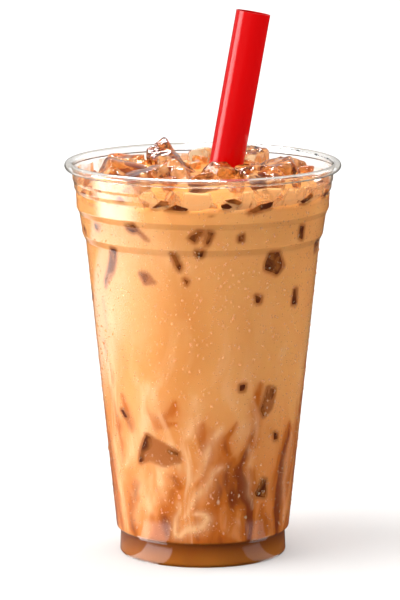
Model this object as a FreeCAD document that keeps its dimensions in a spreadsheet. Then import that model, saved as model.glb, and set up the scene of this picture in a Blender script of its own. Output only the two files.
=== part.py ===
"""Iced latte in a clear PET cup: a thin formed cup with a curled lip, stacking ledges and a foot ring,
filled with drink in which ice floats round a wide straw.

Millimetres, +Z up, origin on the cup's axis at the surface that it stands on, -Y to the front.
"""

import FreeCAD
import Part

import math
import os

import Sketcher

# The driving sizes: name, value and what it is. Angles are in degrees.
SIZES = [
    ("cup_height", 141.0, "from the table to the top of the lip"),
    ("rim_radius", 49.0, "outside of the curled lip"),
    ("curl_radius", 1.5, "outside radius of the curl's section"),
    ("curl_sweep", 270.0, "how far round the lip is curled"),
    ("wall", 0.4, "sheet thickness, the same all over"),
    ("lip_draft", 0.25, "how much the wall narrows from the lip to the lip ledge"),
    ("lip_ledge_drop", 6.4, "from the lip's top down to the ledge under the lip"),
    ("lip_ledge_step", 0.4, "how far that ledge steps in"),
    ("collar_draft", 0.2, "how much the collar narrows"),
    ("collar_ledge_drop", 9.3, "from the lip's top down to the collar's ledge"),
    ("collar_ledge_step", 0.6, "how far that ledge steps in"),
    ("neck_draft", 0.2, "how much the neck narrows"),
    ("upper_ledge_drop", 16.2, "from the lip's top down to the upper stacking ledge"),
    ("upper_ledge_step", 1.0, "how far that ledge steps in"),
    ("band_draft", 1.1, "how much the band between the stacking ledges narrows"),
    ("lower_ledge_drop", 25.6, "from the lip's top down to the lower stacking ledge"),
    ("lower_ledge_step", 1.1, "how far that ledge steps in"),
    ("ledge_slope", 2.0, "drop of every ledge for each millimetre that it steps in"),
    ("ledge_round", 0.7, "outside rounding of the ledges"),
    ("body_bottom_radius", 30.9, "tapered body at its bottom edge"),
    ("body_edge_rise", 1.0, "how far the body's bottom edge slopes down to the foot"),
    ("foot_radius", 29.8, "outside of the foot ring at the table"),
    ("foot_height", 8.2, "from the table to the waist over the foot"),
    ("foot_waist", 0.35, "how much narrower the foot is at that waist"),
    ("foot_ring_width", 3.9, "foot ring from inside to outside, at the table"),
    ("foot_ring_draft", 0.4, "how much the ring's inside leans in"),
    ("punt_height", 3.2, "how far the middle of the base is raised off the table"),
    ("panel_radius", 17.5, "middle panel of the base, raised again"),
    ("panel_rise", 0.9, "how far that panel is raised"),
    ("foot_round", 0.9, "outside rounding of the foot, the base and the body's bottom edge"),
    ("fill_drop", 11.6, "from the lip's top down to the drink at the wall"),
    ("crown_gap", 2.0, "from the wall in to where the drink starts to heap up on its ice"),
    ("crown_slope", 7.0, "how far it takes to heap up, towards the axis"),
    ("crown_rise", 6.5, "how high it stands among the ice"),
    ("crown_dome", 0.8, "how much higher it stands at the axis"),
    ("crown_round", 3.5, "rounding at the foot and the shoulder of the crown"),
    ("straw_radius", 6.1, "outside of the straw"),
    ("straw_wall", 0.4, "its thickness"),
    ("straw_top", 193.1, "height of the middle of its upper end"),
    ("straw_lean", 10.05, "lean towards +X"),
    ("straw_lean_back", 2.0, "lean towards +Y"),
    ("straw_cross_x", 8.6, "its middle at the height of the lip"),
    ("straw_cross_y", 3.0, "its middle at the height of the lip"),
    ("straw_point", 13.0, "length of the slanted cut at its lower end"),
    ("straw_seat_gap", 0.3, "between its tip and the cup's floor"),
    ("ice_size", 20.0, "side of an ordinary piece of ice"),
    ("ice_draft", 4.0, "lean of a piece's sides"),
    ("ice_round", 1.8, "rounding of its melted edges"),
    ("ice_wall_gap", 0.5, "between a piece in the outer ring and the cup's wall"),
    ("ice_straw_gap", 0.4, "between the straw and a piece beside it"),
]

# The ice that breaks the surface: an outer ring that stands against the cup's wall, and a core round the straw.
# distance is, for a ring piece, the gap that it is drawn in from the wall, and for a core piece, how far it stands
# from the axis. width runs round the cup and depth towards its axis; these, height and the broken corner are
# shares of ice_size. lift is from the drink's level at the wall up to the piece's middle, in millimetres. tip
# leans its top outwards, roll leans it sideways and turn twists it, in degrees.
ICE_COLUMNS = ("bearing", "distance", "width", "depth", "height", "corner", "lift", "tip", "roll", "turn")
RING_ICE = [
    (-10.0, 0.0, 0.82, 0.92, 0.98, 0.30, 2.5, -20.0, 12.0, 8.0),
    (27.0, 0.0, 0.76, 0.80, 0.90, 0.22, 1.5, 16.0, -10.0, -10.0),
    (58.0, 0.0, 0.72, 0.82, 0.95, 0.24, 3.0, -10.0, 8.0, 5.0),
    (88.0, 0.0, 0.70, 0.66, 0.90, 0.20, 2.5, 10.0, -6.0, -6.0),
    (119.0, 4.5, 0.80, 0.78, 1.05, 0.24, 4.5, -18.0, -26.0, 12.0),
    (150.0, 0.0, 0.76, 0.82, 0.98, 0.26, 2.5, 14.0, 14.0, -8.0),
    (192.0, 0.0, 0.86, 0.92, 0.92, 0.30, 2.5, -16.0, -10.0, 6.0),
    (230.0, 0.0, 0.90, 0.90, 0.86, 0.24, 3.0, 12.0, 12.0, -6.0),
    (272.0, 0.0, 0.86, 0.74, 0.90, 0.30, 3.0, -12.0, -16.0, 10.0),
    (312.0, 0.0, 0.82, 0.86, 0.92, 0.24, 3.0, 18.0, 14.0, -12.0),
]
CORE_ICE = [
    (205.0, 10.5, 0.70, 0.68, 0.90, 0.20, 3.5, -14.0, 20.0, 25.0),
    (290.0, 16.5, 0.70, 0.62, 0.84, 0.20, 5.0, 10.0, -14.0, 15.0),
    (244.0, 18.5, 0.62, 0.58, 0.76, 0.18, 4.0, -16.0, 10.0, 30.0),
    (150.0, 14.5, 0.56, 0.58, 0.74, 0.16, 5.0, 12.0, 16.0, -20.0),
    (63.0, 16.0, 0.56, 0.52, 0.74, 0.16, 4.0, -8.0, -14.0, 12.0),
    (334.0, 17.5, 0.52, 0.50, 0.70, 0.14, 4.5, 8.0, 12.0, -24.0),
]
ICE = RING_ICE + CORE_ICE

SHEET = "Sizes"


def size_name(name):
    """How an expression names a cell of the sheet."""
    return f"{SHEET}.{name}"


def ice_cell(number, column):
    return f"ice_{number:02d}_{column}"


def fill_sheet(sheet):
    """One row for each size: its name, its value under that alias, and what it is."""
    rows = list(SIZES)
    for number, piece in enumerate(ICE, start=1):
        rows += [
            (ice_cell(number, column), value, f"ice {number}, {column}")
            for column, value in zip(ICE_COLUMNS, piece)
        ]
    for row, (name, value, meaning) in enumerate(rows, start=1):
        sheet.set(f"A{row}", name)
        sheet.set(f"B{row}", str(value))
        sheet.setAlias(f"B{row}", name)
        sheet.set(f"C{row}", meaning)


doc = FreeCAD.newDocument("IcedLatte")
sheet = doc.addObject("Spreadsheet::Sheet", SHEET)
fill_sheet(sheet)
doc.recompute()


def size(name):
    """A size as a plain number, for what code has to place."""
    return float(sheet.get(name))


def new_body(name):
    body = doc.addObject("PartDesign::Body", name)
    body.Label = name
    return body


def new_sketch(body, name, role):
    """An empty sketch on one of the body's own origin planes."""
    sketch = body.newObject("Sketcher::SketchObject", name)
    plane = next(item for item in body.Origin.OriginFeatures if item.Role == role)
    sketch.AttachmentSupport = [(plane, "")]
    sketch.MapMode = "FlatFace"
    return sketch


def bind(sketch, kind, line, end, value, expression):
    """Holds a point at a distance from the sketch's origin. A distance of "0" puts it on the axis."""
    if expression == "0":
        axis = -2 if kind == "DistanceX" else -1
        sketch.addConstraint(Sketcher.Constraint("PointOnObject", line, end, axis))
        return
    index = sketch.addConstraint(Sketcher.Constraint(kind, -1, 1, line, end, value))
    sketch.setExpression(f"Constraints[{index}]", expression)


def draw_chain(sketch, corners, closed=False):
    """Lines through corners given as pairs of expressions. They start on a circle, until they are solved."""
    count = len(corners)
    start_radius = 5.0
    start = [
        FreeCAD.Vector(
            start_radius * (2 + math.cos(2 * math.pi * index / count)),
            start_radius * (2 + math.sin(2 * math.pi * index / count)),
            0,
        )
        for index in range(count)
    ]
    lines = [
        sketch.addGeometry(Part.LineSegment(start[index], start[(index + 1) % count]), False)
        for index in range(count if closed else count - 1)
    ]
    for line, following in zip(lines, lines[1:] + lines[:1] if closed else lines[1:]):
        sketch.addConstraint(Sketcher.Constraint("Coincident", line, 2, following, 1))
    ends = [(line, 1) for line in lines] if closed else [(line, 1) for line in lines] + [(lines[-1], 2)]
    for point, (line, end), (across, up) in zip(start, ends, corners):
        bind(sketch, "DistanceX", line, end, point.x, across)
        bind(sketch, "DistanceY", line, end, point.y, up)


def revolve(body, sketch, name):
    revolution = body.newObject("PartDesign::Revolution", name)
    revolution.Profile = sketch
    revolution.ReferenceAxis = (sketch, ["V_Axis"])
    revolution.Angle = 360.0
    doc.recompute()
    return revolution


def round_rings(body, feature, name, rings, expression):
    """Rounds the circular edges at (radius, height) with one radius."""
    near = 1e-4
    names = []
    for index, edge in enumerate(feature.Shape.Edges, start=1):
        if edge.Curve.TypeId != "Part::GeomCircle":
            continue
        here = (edge.Curve.Radius, edge.Curve.Center.z)
        if any(math.dist(here, ring) < near for ring in rings):
            names.append(f"Edge{index}")
    if len(names) != len(rings):
        raise RuntimeError(f"{name}: {len(names)} edges found for {len(rings)} corners")
    fillet = body.newObject("PartDesign::Fillet", name)
    fillet.Base = (feature, names)
    fillet.setExpression("Radius", expression)
    doc.recompute()
    return fillet


# ---------------------------------------------------------------- the cup's section


def wall_corners():
    """The corners of the cup's wall from the middle of the base up to the lip.

    Each is (radius, height, radial shift, upward shift, rounding, outside is convex): expressions for the outside,
    how many walls the inside lies from it each way, and the rounding's cell, or None.
    """
    ring_inside = f"{size_name('foot_radius')} - {size_name('foot_ring_width')}"
    waist = f"{size_name('foot_radius')} - {size_name('foot_waist')}"
    punt = size_name("punt_height")
    panel_height = f"{punt} + {size_name('panel_rise')}"
    panel_edge = f"{size_name('panel_radius')} + {size_name('panel_rise')}"
    body_bottom = f"{size_name('foot_height')} + {size_name('body_edge_rise')}"
    corners = [
        ("0", panel_height, 0, 1, None, False),
        (size_name("panel_radius"), panel_height, 0.5, 1, "foot_round", False),
        (panel_edge, punt, 0.5, 1, "foot_round", True),
        (f"{ring_inside} - {size_name('foot_ring_draft')}", punt, 1, 1, "foot_round", False),
        (ring_inside, "0", 1, 1, "foot_round", True),
        (size_name("foot_radius"), "0", -1, 1, "foot_round", True),
        (waist, size_name("foot_height"), -1, 0.5, "foot_round", False),
        (size_name("body_bottom_radius"), body_bottom, -1, 0.5, "foot_round", True),
    ]
    # Down from the lip, each section narrows by its draft and ends in a ledge.
    lip_face = f"{size_name('rim_radius')} - 2 * {size_name('curl_radius')} + {size_name('wall')}"
    radius = lip_face
    from_lip = []
    for section, ledge in (("lip", "lip"), ("collar", "collar"), ("neck", "upper"), ("band", "lower")):
        radius += f" - {size_name(section + '_draft')}"
        height = f"{size_name('cup_height')} - {size_name(ledge + '_ledge_drop')}"
        from_lip.append((radius, height, -1, 0.25, "ledge_round", True))
        radius += f" - {size_name(ledge + '_ledge_step')}"
        height += f" - {size_name('ledge_slope')} * {size_name(ledge + '_ledge_step')}"
        from_lip.append((radius, height, -1, 0.25, "ledge_round", False))
    corners += reversed(from_lip)
    lip_height = f"{size_name('cup_height')} - {size_name('curl_radius')}"
    corners.append((lip_face, lip_height, -1, 0, None, False))
    return corners


def shifted(expression, walls):
    """An expression moved by a number of wall thicknesses."""
    if not walls:
        return expression
    sign = "+" if walls > 0 else "-"
    moved = f"{sign} {abs(walls)} * {size_name('wall')}"
    return moved.lstrip("+ ") if expression == "0" else f"{expression} {moved}"


def outside_of(corners):
    return [(radius, height) for radius, height, *_ in corners]


def inside_of(corners):
    return [(shifted(corner[0], corner[2]), shifted(corner[1], corner[3])) for corner in corners]


def sketch_ring(sketch, index):
    """Where a corner of a solved outline lies, as (radius, height)."""
    point = sketch.getPoint(index, 1)
    return point.x, point.y


def roundings(corners, sketch, first, inside):
    """Rings to round, grouped by expression. Corner number n is where the sketch's line first + n starts."""
    groups = {}
    for number, (*_, cell, convex) in enumerate(corners):
        if cell is None:
            continue
        expression = size_name(cell)
        if inside:
            expression += f" {'-' if convex else '+'} {size_name('wall')}"
        groups.setdefault(expression, []).append(sketch_ring(sketch, first + number))
    return groups


def round_groups(body, feature, groups):
    for number, (expression, rings) in enumerate(groups.items(), start=1):
        feature = round_rings(body, feature, f"{body.Name}_round_{number}", rings, expression)
    return feature


def draw_curl(sketch, outside_end, inside_end):
    """The lip's curl: three quarters of a ring section, from the top of the wall's two sides to under the lip.

    outside_end and inside_end are the numbers of the wall's lines whose last points the two arcs meet.
    """
    centre_x = f"{size_name('rim_radius')} - {size_name('curl_radius')}"
    centre_y = f"{size_name('cup_height')} - {size_name('curl_radius')}"
    centre = FreeCAD.Vector(
        size("rim_radius") - size("curl_radius"), size("cup_height") - size("curl_radius"), 0
    )
    outer, inner = size("curl_radius"), size("curl_radius") - size("wall")
    normal, down = FreeCAD.Vector(0, 0, 1), FreeCAD.Vector(0, -1, 0)
    start = math.pi
    bottom = start - math.radians(size("curl_sweep"))
    outer_arc, inner_arc = (
        sketch.addGeometry(Part.ArcOfCircle(Part.Circle(centre, normal, radius), bottom, start), False)
        for radius in (outer, inner)
    )
    cap = sketch.addGeometry(Part.LineSegment(centre + down * outer, centre + down * inner), False)
    for constraint in (
        ("Coincident", outer_arc, 2, inside_end, 2),
        ("Coincident", inner_arc, 2, outside_end, 2),
        ("Coincident", outer_arc, 1, cap, 1),
        ("Coincident", inner_arc, 1, cap, 2),
    ):
        sketch.addConstraint(Sketcher.Constraint(*constraint))
    for arc in (outer_arc, inner_arc):
        sweep = sketch.addConstraint(Sketcher.Constraint("Angle", arc, start - bottom))
        sketch.setExpression(f"Constraints[{sweep}]", f"{size_name('curl_sweep')} * 1 deg")
        bind(sketch, "DistanceX", arc, 3, centre.x, centre_x)
        bind(sketch, "DistanceY", arc, 3, centre.y, centre_y)


def build_cup():
    """The wall and its curl in one revolved section, then its rounded ledges."""
    body = new_body("cup")
    corners = wall_corners()
    section = new_sketch(body, "cup_section", "XZ_Plane")
    inside = inside_of(corners)
    count = len(corners)
    draw_chain(section, outside_of(corners))
    draw_chain(section, inside)
    outside_end, inside_end = count - 2, 2 * count - 3
    middle = section.addGeometry(Part.LineSegment(FreeCAD.Vector(0, 1, 0), FreeCAD.Vector(0, 2, 0)), False)
    section.addConstraint(Sketcher.Constraint("Coincident", middle, 1, 0, 1))
    section.addConstraint(Sketcher.Constraint("Coincident", middle, 2, count - 1, 1))
    draw_curl(section, outside_end, inside_end)
    doc.recompute()
    feature = revolve(body, section, "cup_wall")
    groups = roundings(corners, section, 0, inside=False)
    for expression, rings in roundings(corners, section, count - 1, inside=True).items():
        groups.setdefault(expression, []).extend(rings)
    round_groups(body, feature, groups)
    return body


def build_cavity():
    """The room inside the cup up to its lip, which the drink fills part of."""
    body = new_body("cavity")
    corners = wall_corners()
    section = new_sketch(body, "cavity_section", "XZ_Plane")
    inside = inside_of(corners)
    lip_height = inside[-1][1]
    draw_chain(section, inside + [("0", lip_height)], closed=True)
    doc.recompute()
    feature = revolve(body, section, "cavity_form")
    round_groups(body, feature, roundings(corners, section, 0, inside=True))
    return body


# ---------------------------------------------------------------- the straw


def straw_direction():
    """Along the straw, upwards, as a unit vector."""
    across = math.tan(math.radians(size("straw_lean")))
    back = math.tan(math.radians(size("straw_lean_back")))
    return FreeCAD.Vector(across, back, 1).normalize()


def straw_floor():
    """The height that the straw stands over: the cup's inside at the middle panel of its base."""
    return f"{size_name('punt_height')} + {size_name('panel_rise')} + {size_name('wall')}"


def straw_placement():
    """Stands the straw's own frame, whose origin is the middle of its lower end, in the cup.

    Its slanted cut faces away from the lean, so its tip is the lowest point and clears the cup's floor by the gap.
    """
    along = straw_direction()
    turned = FreeCAD.Rotation(FreeCAD.Vector(0, 0, 1), along)
    tip = turned.multVec(FreeCAD.Vector(size("straw_radius"), 0, 0))
    floor = size("punt_height") + size("panel_rise") + size("wall")
    height = floor + size("straw_seat_gap") - tip.z
    crossing = FreeCAD.Vector(size("straw_cross_x"), size("straw_cross_y"), size("cup_height"))
    return FreeCAD.Placement(crossing + along * ((height - crossing.z) / along.z), turned)


def draw_circle(sketch, radius, expression):
    origin = FreeCAD.Vector(0, 0, 0)
    circle = sketch.addGeometry(Part.Circle(origin, FreeCAD.Vector(0, 0, 1), radius), False)
    sketch.addConstraint(Sketcher.Constraint("Coincident", circle, 3, -1, 1))
    number = sketch.addConstraint(Sketcher.Constraint("Radius", circle, radius))
    sketch.setExpression(f"Constraints[{number}]", expression)


def build_straw():
    """A tube cut square at the top and slanted to a point at the bottom."""
    body = new_body("straw")
    section = new_sketch(body, "straw_section", "XY_Plane")
    draw_circle(section, size("straw_radius"), size_name("straw_radius"))
    bore = f"{size_name('straw_radius')} - {size_name('straw_wall')}"
    draw_circle(section, size("straw_radius") - size("straw_wall"), bore)
    tube = body.newObject("PartDesign::Pad", "straw_tube")
    tube.Profile = section
    lean, lean_back = (f"tan({size_name(cell)} * 1 deg)" for cell in ("straw_lean", "straw_lean_back"))
    height = f"{size_name('straw_top')} - {size_name('straw_seat_gap')} - ({straw_floor()})"
    tube.setExpression(
        "Length",
        f"({height}) * sqrt(1 + {lean}^2 + {lean_back}^2) - {size_name('straw_radius')} * {lean}",
    )
    slant = new_sketch(body, "straw_slant", "XZ_Plane")
    # The triangle runs this far past the tube's side, so that no skin is left.
    past = 1.0
    radius, point = size_name("straw_radius"), size_name("straw_point")
    rise = f"{past} * {point} / (2 * {radius})"
    draw_chain(
        slant,
        [
            (f"{radius}", "0"),
            (f"-{radius} - {past}", f"{point} + {rise}"),
            (f"-{radius} - {past}", f"-{rise}"),
            (f"{radius}", f"-{rise}"),
        ],
        closed=True,
    )
    doc.recompute()
    whole = tube.Shape.Volume
    cut = body.newObject("PartDesign::Pocket", "straw_cut")
    cut.Profile = slant
    cut.Type = "ThroughAll"
    cut.Midplane = True
    doc.recompute()
    if cut.Shape.Volume >= whole:
        raise RuntimeError("the slanted cut took nothing off the straw")
    body.Placement = straw_placement()
    return body


# ---------------------------------------------------------------- the ice


def wall_room():
    """How far from the axis the ice can reach: the cup's inside at its lower ledge, less the gap."""
    steps = ("wall", "lip_draft", "lip_ledge_step", "collar_draft", "collar_ledge_step", "neck_draft")
    ledges = ("upper_ledge_step", "band_draft", "lower_ledge_step", "ice_wall_gap")
    taken = sum(size(name) for name in steps + ledges)
    return size("rim_radius") - 2 * size("curl_radius") + size("wall") - taken


def distance_at_wall(corners, outwards):
    """How far out a piece can be moved before the first of its corners reaches the wall's room."""
    room = wall_room()
    reaches = []
    for corner in corners:
        ahead = corner.x * outwards.x + corner.y * outwards.y
        aside = corner.x * outwards.y - corner.y * outwards.x
        reaches.append(math.sqrt(room**2 - aside**2) - ahead)
    return min(reaches)


def ice_placement(number, block):
    """Turns the piece about its middle, leans it, and stands it in the drink at its bearing."""
    cell = {column: size(ice_cell(number, column)) for column in ICE_COLUMNS}
    middle = FreeCAD.Vector(cell["depth"], cell["width"], cell["height"]) * (size("ice_size") / 2)
    axis_x, axis_y, axis_z = (FreeCAD.Vector(*axis) for axis in ((1, 0, 0), (0, 1, 0), (0, 0, 1)))
    turned = (
        FreeCAD.Rotation(axis_z, cell["bearing"])
        * FreeCAD.Rotation(axis_y, cell["tip"])
        * FreeCAD.Rotation(axis_x, cell["roll"])
        * FreeCAD.Rotation(axis_z, cell["turn"])
    )
    bearing = math.radians(cell["bearing"])
    outwards = FreeCAD.Vector(math.cos(bearing), math.sin(bearing), 0)
    distance = cell["distance"]
    if number <= len(RING_ICE):
        corners = [turned.multVec(vertex.Point - middle) for vertex in block.Shape.Vertexes]
        distance = distance_at_wall(corners, outwards) - cell["distance"]
    level = FreeCAD.Vector(0, 0, size("cup_height") - size("fill_drop") + cell["lift"])
    return FreeCAD.Placement(outwards * distance + level - turned.multVec(middle), turned)


def build_block(number):
    """A drafted block with one corner broken off and every edge melted round."""
    body = new_body(f"block_{number:02d}")
    depth, width, height, corner = (
        f"{size_name('ice_size')} * {size_name(ice_cell(number, column))}"
        for column in ("depth", "width", "height", "corner")
    )
    section = new_sketch(body, f"{body.Name}_section", "XY_Plane")
    draw_chain(
        section,
        [
            ("0", "0"),
            (depth, "0"),
            (depth, f"{width} - {corner}"),
            (f"{depth} - {corner}", width),
            ("0", width),
        ],
        closed=True,
    )
    block = body.newObject("PartDesign::Pad", f"{body.Name}_pad")
    block.Profile = section
    block.setExpression("Length", height)
    block.setExpression("TaperAngle", f"-{size_name('ice_draft')}")
    doc.recompute()
    melted = body.newObject("PartDesign::Fillet", f"{body.Name}_melted")
    melted.Base = (block, [f"Edge{index}" for index in range(1, len(block.Shape.Edges) + 1)])
    melted.setExpression("Radius", size_name("ice_round"))
    doc.recompute()
    body.Placement = ice_placement(number, melted)
    return body


def straw_clearance(straw):
    """The straw's outside, bore and all, with its gap to the ice."""
    envelope = doc.addObject("Part::Cylinder", "straw_envelope")
    envelope.setExpression("Radius", f"{size_name('straw_radius')} + {size_name('ice_straw_gap')}")
    envelope.setExpression("Height", size_name("straw_top"))
    envelope.Placement = straw.Placement
    return envelope


def build_ice(straw):
    """Every piece, melted back wherever it would reach the straw or a piece placed before it."""
    placed = [straw_clearance(straw)]
    pieces = []
    for number in range(1, len(ICE) + 1):
        block = build_block(number)
        doc.recompute()
        near = [item for item in placed if item.Shape.BoundBox.intersect(block.Shape.BoundBox)]
        piece = block
        for order, item in enumerate(near, start=1):
            cut = doc.addObject("Part::Cut", f"melt_{number:02d}_{order}")
            cut.Base = piece
            cut.Tool = item
            piece = cut
        doc.recompute()
        piece.Label = f"ice_{number:02d}"
        placed.append(piece)
        pieces.append(piece)
    return pieces


# ---------------------------------------------------------------- the drink


def build_fill():
    """Everything under the drink's surface: level at the wall, and heaped up in a low crown on the ice."""
    body = new_body("fill")
    taken = ("curl_radius", "curl_radius", "lip_draft", "lip_ledge_step", "collar_draft", "collar_ledge_step")
    neck = size_name("rim_radius") + "".join(f" - {size_name(name)}" for name in taken)
    level = f"{size_name('cup_height')} - {size_name('fill_drop')}"
    foot = f"{neck} - {size_name('crown_gap')}"
    shoulder = f"{foot} - {size_name('crown_slope')}"
    raised = f"{level} + {size_name('crown_rise')}"
    section = new_sketch(body, "fill_section", "XZ_Plane")
    corners = [
        ("0", "0"),
        (size_name("rim_radius"), "0"),
        (size_name("rim_radius"), level),
        (foot, level),
        (shoulder, raised),
        ("0", f"{raised} + {size_name('crown_dome')}"),
    ]
    draw_chain(section, corners, closed=True)
    doc.recompute()
    feature = revolve(body, section, "fill_form")
    bends = [sketch_ring(section, 3), sketch_ring(section, 4)]
    round_rings(body, feature, "fill_round", bends, size_name("crown_round"))
    return body


def build_drink(cavity, straw, ice):
    """Fills the cavity up to its surface, round the straw's wall and inside it, and round each piece of ice."""
    fill = build_fill()
    level = doc.addObject("Part::MultiCommon", "drink_level")
    level.Shapes = [cavity, fill]
    solids = doc.addObject("Part::Compound", "sunk_in_drink")
    solids.Links = [straw, *ice]
    drink = doc.addObject("Part::Cut", "drink")
    drink.Label = "drink"
    drink.Base = level
    drink.Tool = solids
    return drink


def check(objects):
    """Stops on any feature that failed and on any sub-part without a valid solid."""
    failed = [item.Name for item in doc.Objects if {"Invalid", "Error"} & set(item.State)]
    if failed:
        raise RuntimeError(f"failed features: {failed}")
    sketches = [item for item in doc.Objects if item.TypeId == "Sketcher::SketchObject"]
    loose = [sketch.Name for sketch in sketches if not sketch.FullyConstrained]
    if loose:
        raise RuntimeError(f"sketches left free: {loose}")
    for item in objects:
        shape = item.Shape
        if shape.isNull() or not shape.isValid() or not shape.Solids:
            raise RuntimeError(f"{item.Label} has no valid solid")


cup = build_cup()
cavity = build_cavity()
straw = build_straw()
ice = build_ice(straw)
drink = build_drink(cavity, straw, ice)
doc.recompute()

parts = [cup, drink, straw, *ice]
check(parts)
os.makedirs("parts", exist_ok=True)
for item in parts:
    item.Shape.exportStep(os.path.join("parts", f"{item.Label}.step"))
    print(item.Label, len(item.Shape.Solids), round(item.Shape.Volume / 1000, 3), "cm3")
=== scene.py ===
"""The looks of the iced latte: a clear cup wet with condensation, milk coffee with ice floating and sunk
in it, and a glossy straw, on a white studio floor.

Metres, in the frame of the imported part: +Z up, origin on the cup's axis at the floor, -Y to the front.
"""

import math
from contextlib import contextmanager

import bmesh
import bpy
import numpy as np
from mathutils import Matrix, Vector, noise
from mathutils.bvhtree import BVHTree


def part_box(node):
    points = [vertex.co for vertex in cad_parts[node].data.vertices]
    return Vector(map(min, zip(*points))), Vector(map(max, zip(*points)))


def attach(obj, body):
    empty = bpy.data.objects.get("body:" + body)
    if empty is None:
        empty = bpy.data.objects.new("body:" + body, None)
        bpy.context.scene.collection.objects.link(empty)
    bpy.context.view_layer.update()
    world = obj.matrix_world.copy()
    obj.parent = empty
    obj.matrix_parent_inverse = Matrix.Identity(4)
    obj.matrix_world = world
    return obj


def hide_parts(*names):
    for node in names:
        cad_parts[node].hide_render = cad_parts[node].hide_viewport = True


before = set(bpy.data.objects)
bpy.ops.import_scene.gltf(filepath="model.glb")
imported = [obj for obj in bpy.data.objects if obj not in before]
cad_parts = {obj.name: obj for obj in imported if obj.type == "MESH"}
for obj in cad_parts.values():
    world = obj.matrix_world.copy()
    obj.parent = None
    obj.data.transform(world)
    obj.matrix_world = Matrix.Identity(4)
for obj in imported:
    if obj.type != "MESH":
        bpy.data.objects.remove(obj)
bpy.context.view_layer.update()

MM = 0.001
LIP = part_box("cup")[1].z
# The wall's thickness, and how far the drink and the ice in it reach into it, so that no air gap shows.
WALL = 0.4 * MM
WALL_REACH = WALL / 2
FLOATING = sorted(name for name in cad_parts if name.startswith("ice_"))

# ---------------- mesh helpers


def dress(mesh, material=None):
    """Shades a mesh smoothly, and makes a material its only one."""
    if material:
        mesh.materials.clear()
        mesh.materials.append(material)
    mesh.polygons.foreach_set("use_smooth", [True] * len(mesh.polygons))


def add_object(name, mesh, material=None):
    thing = bpy.data.objects.new(name, mesh)
    bpy.context.scene.collection.objects.link(thing)
    dress(mesh, material)
    return thing


def mesh_from(name, points, faces):
    mesh = bpy.data.meshes.new(name)
    mesh.from_pydata([tuple(point) for point in points], [], [tuple(face) for face in faces])
    mesh.update()
    return mesh


def coordinates(mesh):
    flat = np.empty(len(mesh.vertices) * 3)
    mesh.vertices.foreach_get("co", flat)
    return flat.reshape(-1, 3)


def set_coordinates(mesh, points):
    mesh.vertices.foreach_set("co", np.asarray(points).ravel())
    mesh.update()


def normals(mesh):
    flat = np.empty(len(mesh.vertices) * 3)
    mesh.vertices.foreach_get("normal", flat)
    return flat.reshape(-1, 3)


@contextmanager
def editing(mesh):
    """The mesh as a form that can be edited, written back at the end."""
    form = bmesh.new()
    form.from_mesh(mesh)
    yield form
    form.to_mesh(mesh)
    form.free()
    mesh.update()


def merged_copy(mesh):
    """A copy whose split corners are joined again, so that it is one closed surface."""
    joined = mesh.copy()
    with editing(joined) as form:
        bmesh.ops.remove_doubles(form, verts=form.verts, dist=0.001 * MM)
    return joined


def cut_edges(form, place, normal, clear=False):
    """Cuts a form by a plane, clears away its outer side if asked, and gives the edges along the cut."""
    everything = form.verts[:] + form.edges[:] + form.faces[:]
    cut = bmesh.ops.bisect_plane(form, geom=everything, plane_co=place, plane_no=normal, clear_outer=clear)
    return [item for item in cut["geom_cut"] if isinstance(item, bmesh.types.BMEdge)]


def remeshed(thing, voxel):
    """Gives an object a modifier that makes its mesh anew from voxels."""
    remesh = thing.modifiers.new("remesh", "REMESH")
    remesh.mode = "VOXEL"
    remesh.voxel_size = voxel


def with_modifiers(thing):
    """The object's mesh with its modifiers applied, in the same object."""
    graph = bpy.context.evaluated_depsgraph_get()
    result = bpy.data.meshes.new_from_object(thing.evaluated_get(graph))
    thing.modifiers.clear()
    thing.data = result
    return thing


def gathered(meshes):
    """The points and faces of several meshes."""
    points, faces = [], []
    for mesh in meshes:
        start = len(points)
        points += [tuple(point) for point in coordinates(mesh)]
        faces += [tuple(start + index for index in polygon.vertices) for polygon in mesh.polygons]
    return points, faces


def tree_of(meshes):
    """One search tree over several meshes."""
    return BVHTree.FromPolygons(*gathered(meshes))


def distances(tree, points, limit):
    """Distance from each point to the nearest surface in the tree, or the limit where nothing is nearer."""
    found = (tree.find_nearest(Vector(point), limit)[3] for point in points)
    return np.array([limit if distance is None else distance for distance in found])


def set_attribute(mesh, name, values):
    layer = mesh.attributes.get(name) or mesh.attributes.new(name, "FLOAT", "POINT")
    layer.data.foreach_set("value", np.asarray(values, dtype=np.float32))


def smoothstep(low, high, value):
    share = np.clip((value - low) / (high - low), 0, 1)
    return share * share * (3 - 2 * share)


def fractal(point, size, octaves=3):
    """Smooth noise in about -1 to 1 with features of the given size."""
    return noise.fractal(Vector(point) / size, 0.7, 2.0, octaves)


def polar(radius, angle, height):
    return (radius * math.cos(angle), radius * math.sin(angle), height)


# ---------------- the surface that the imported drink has


def crown():
    """The drink's heaped surface from the wall to the axis: the highest (radius, height) of each ring."""
    points = coordinates(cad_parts["drink"].data)
    radius = np.hypot(points[:, 0], points[:, 1])
    rim = radius.max()
    rings = [(rim, points[radius > rim - 0.05 * MM, 2].max())]
    for outer in np.arange(rim - 1.0 * MM, 1.0 * MM, -1.5 * MM):
        ring = points[(radius <= outer) & (radius > outer - 1.5 * MM)]
        if len(ring) and ring[:, 2].max() >= rings[-1][1] - 0.2 * MM:
            highest = ring[ring[:, 2].argmax()]
            rings.append((math.hypot(highest[0], highest[1]), highest[2]))
    return np.array(rings)


CROWN = crown()
# Where the drink meets the wall.
LEVEL = CROWN[0, 1]


def crown_height(radius):
    return np.interp(radius, CROWN[::-1, 0], CROWN[::-1, 1])


# ---------------- material helpers


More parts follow.
